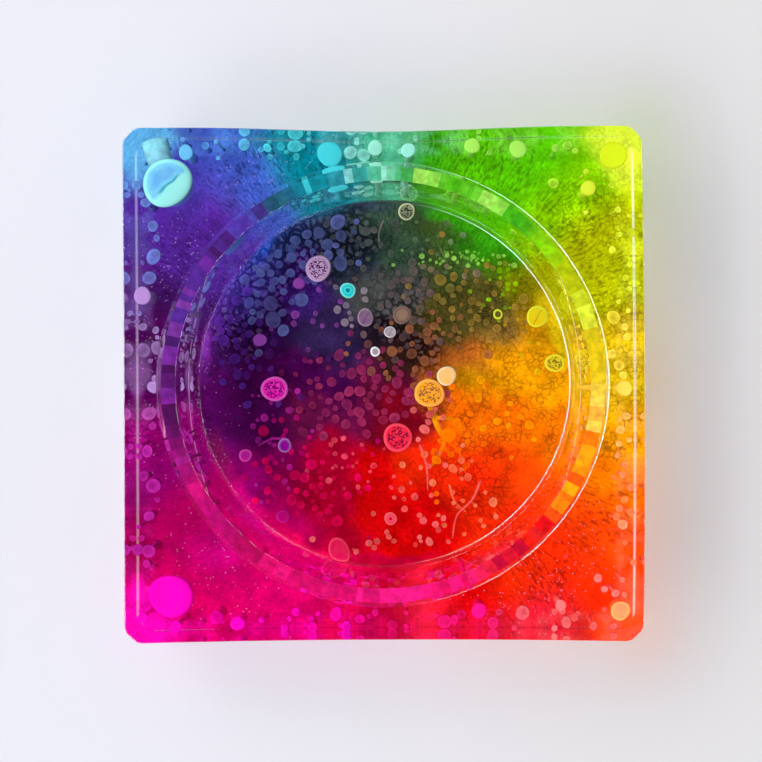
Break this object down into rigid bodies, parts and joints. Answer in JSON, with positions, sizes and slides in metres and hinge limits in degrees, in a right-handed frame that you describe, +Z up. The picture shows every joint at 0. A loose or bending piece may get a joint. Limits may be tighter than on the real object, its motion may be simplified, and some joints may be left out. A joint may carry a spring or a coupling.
{
  "type": "cast resin dish",
  "caption": "Square clear-resin dish with a round bevelled well, cast over a rainbow film of alcohol inks with round ink cells sunk in the resin.",
  "frame": {"origin": "middle of the flat underside, on the surface the dish rests on", "axes": "+Z up out of the well, +X to the right and +Y to the back, both square to the sides; the cyan and violet inks lie towards -X and the yellow and orange inks towards +X"},
  "size_m": [0.1, 0.0992, 0.025],
  "materials": {
    "clear_resin": "water-clear casting resin, high gloss",
    "ink_yellow": "yellow alcohol ink set in clear resin, mottled, with pale rims and fine dark crackle",
    "ink_green": "green alcohol ink set in clear resin, mottled, with pale rims and fine dark crackle",
    "ink_teal": "teal alcohol ink set in clear resin, mottled, with pale rims and fine dark crackle",
    "ink_blue": "blue alcohol ink set in clear resin, mottled, with pale rims and fine dark crackle",
    "ink_violet": "violet alcohol ink set in clear resin, mottled, with pale rims and fine dark crackle",
    "ink_magenta": "magenta alcohol ink set in clear resin, mottled, with pale rims and fine dark crackle",
    "ink_red": "red alcohol ink set in clear resin, mottled, with pale rims and fine dark crackle",
    "ink_orange": "orange alcohol ink set in clear resin, mottled, with pale rims and fine dark crackle",
    "ink_charcoal": "charcoal alcohol ink set in clear resin, mottled, with pale rims and fine dark crackle",
    "ink_lilac": "lilac alcohol ink set in clear resin, mottled, with pale rims and fine dark crackle",
    "ink_pink": "pink alcohol ink set in clear resin, mottled, with pale rims and fine dark crackle",
    "ink_cyan": "cyan alcohol ink set in clear resin, mottled, with pale rims and fine dark crackle",
    "ink_olive": "olive alcohol ink set in clear resin, mottled, with pale rims and fine dark crackle",
    "ink_grey": "grey alcohol ink set in clear resin, mottled, with pale rims and fine dark crackle",
    "ink_peach": "peach alcohol ink set in clear resin, mottled, with pale rims and fine dark crackle"
  },
  "bodies": {
    "root": {"clear_body": "clear_resin", "ink_pour_yellow": "ink_yellow", "ink_pour_green": "ink_green", "ink_pour_teal": "ink_teal", "ink_pour_blue": "ink_blue", "ink_pour_violet": "ink_violet", "ink_pour_magenta": "ink_magenta", "ink_pour_red": "ink_red", "ink_pour_orange": "ink_orange", "ink_pour_charcoal": "ink_charcoal", "cell_lilac_speckled": "ink_lilac", "cell_pink_small": "ink_pink", "cell_cyan_ring": "ink_cyan", "cell_mauve": "ink_lilac", "cell_beige": "ink_olive", "cell_grey_ring": "ink_grey", "cell_white_ring": "ink_grey", "cell_olive_speckled": "ink_olive", "cell_plum": "ink_pink", "cell_magenta_speckled": "ink_pink", "cell_orange_speckled": "ink_orange", "cell_peach": "ink_peach", "cell_crimson_speckled": "ink_red", "cell_orange_small": "ink_orange", "cell_violet_ring": "ink_lilac", "cell_pink_ring": "ink_pink", "cell_magenta_small": "ink_magenta", "cell_red_ring": "ink_pink", "cell_crimson_drop": "ink_red", "cell_yellow_plain": "ink_yellow", "cell_yellow_speckled": "ink_yellow", "cell_amber_ring": "ink_peach", "cell_cyan_large": "ink_cyan", "cell_cyan_small": "ink_cyan", "cell_aqua": "ink_cyan", "cell_mint": "ink_cyan", "cell_pale_cyan": "ink_cyan", "cell_green_west": "ink_green", "cell_green_east": "ink_green", "cell_lemon_disc": "ink_yellow", "cell_lemon_corner": "ink_yellow", "cell_amber_edge": "ink_yellow", "cell_coral": "ink_peach", "cell_cerise": "ink_magenta", "cell_cerise_edge": "ink_magenta", "cell_hot_pink_large": "ink_magenta", "cell_lavender": "ink_lilac", "cell_peach_corner": "ink_peach"}
  },
  "joints": []
}
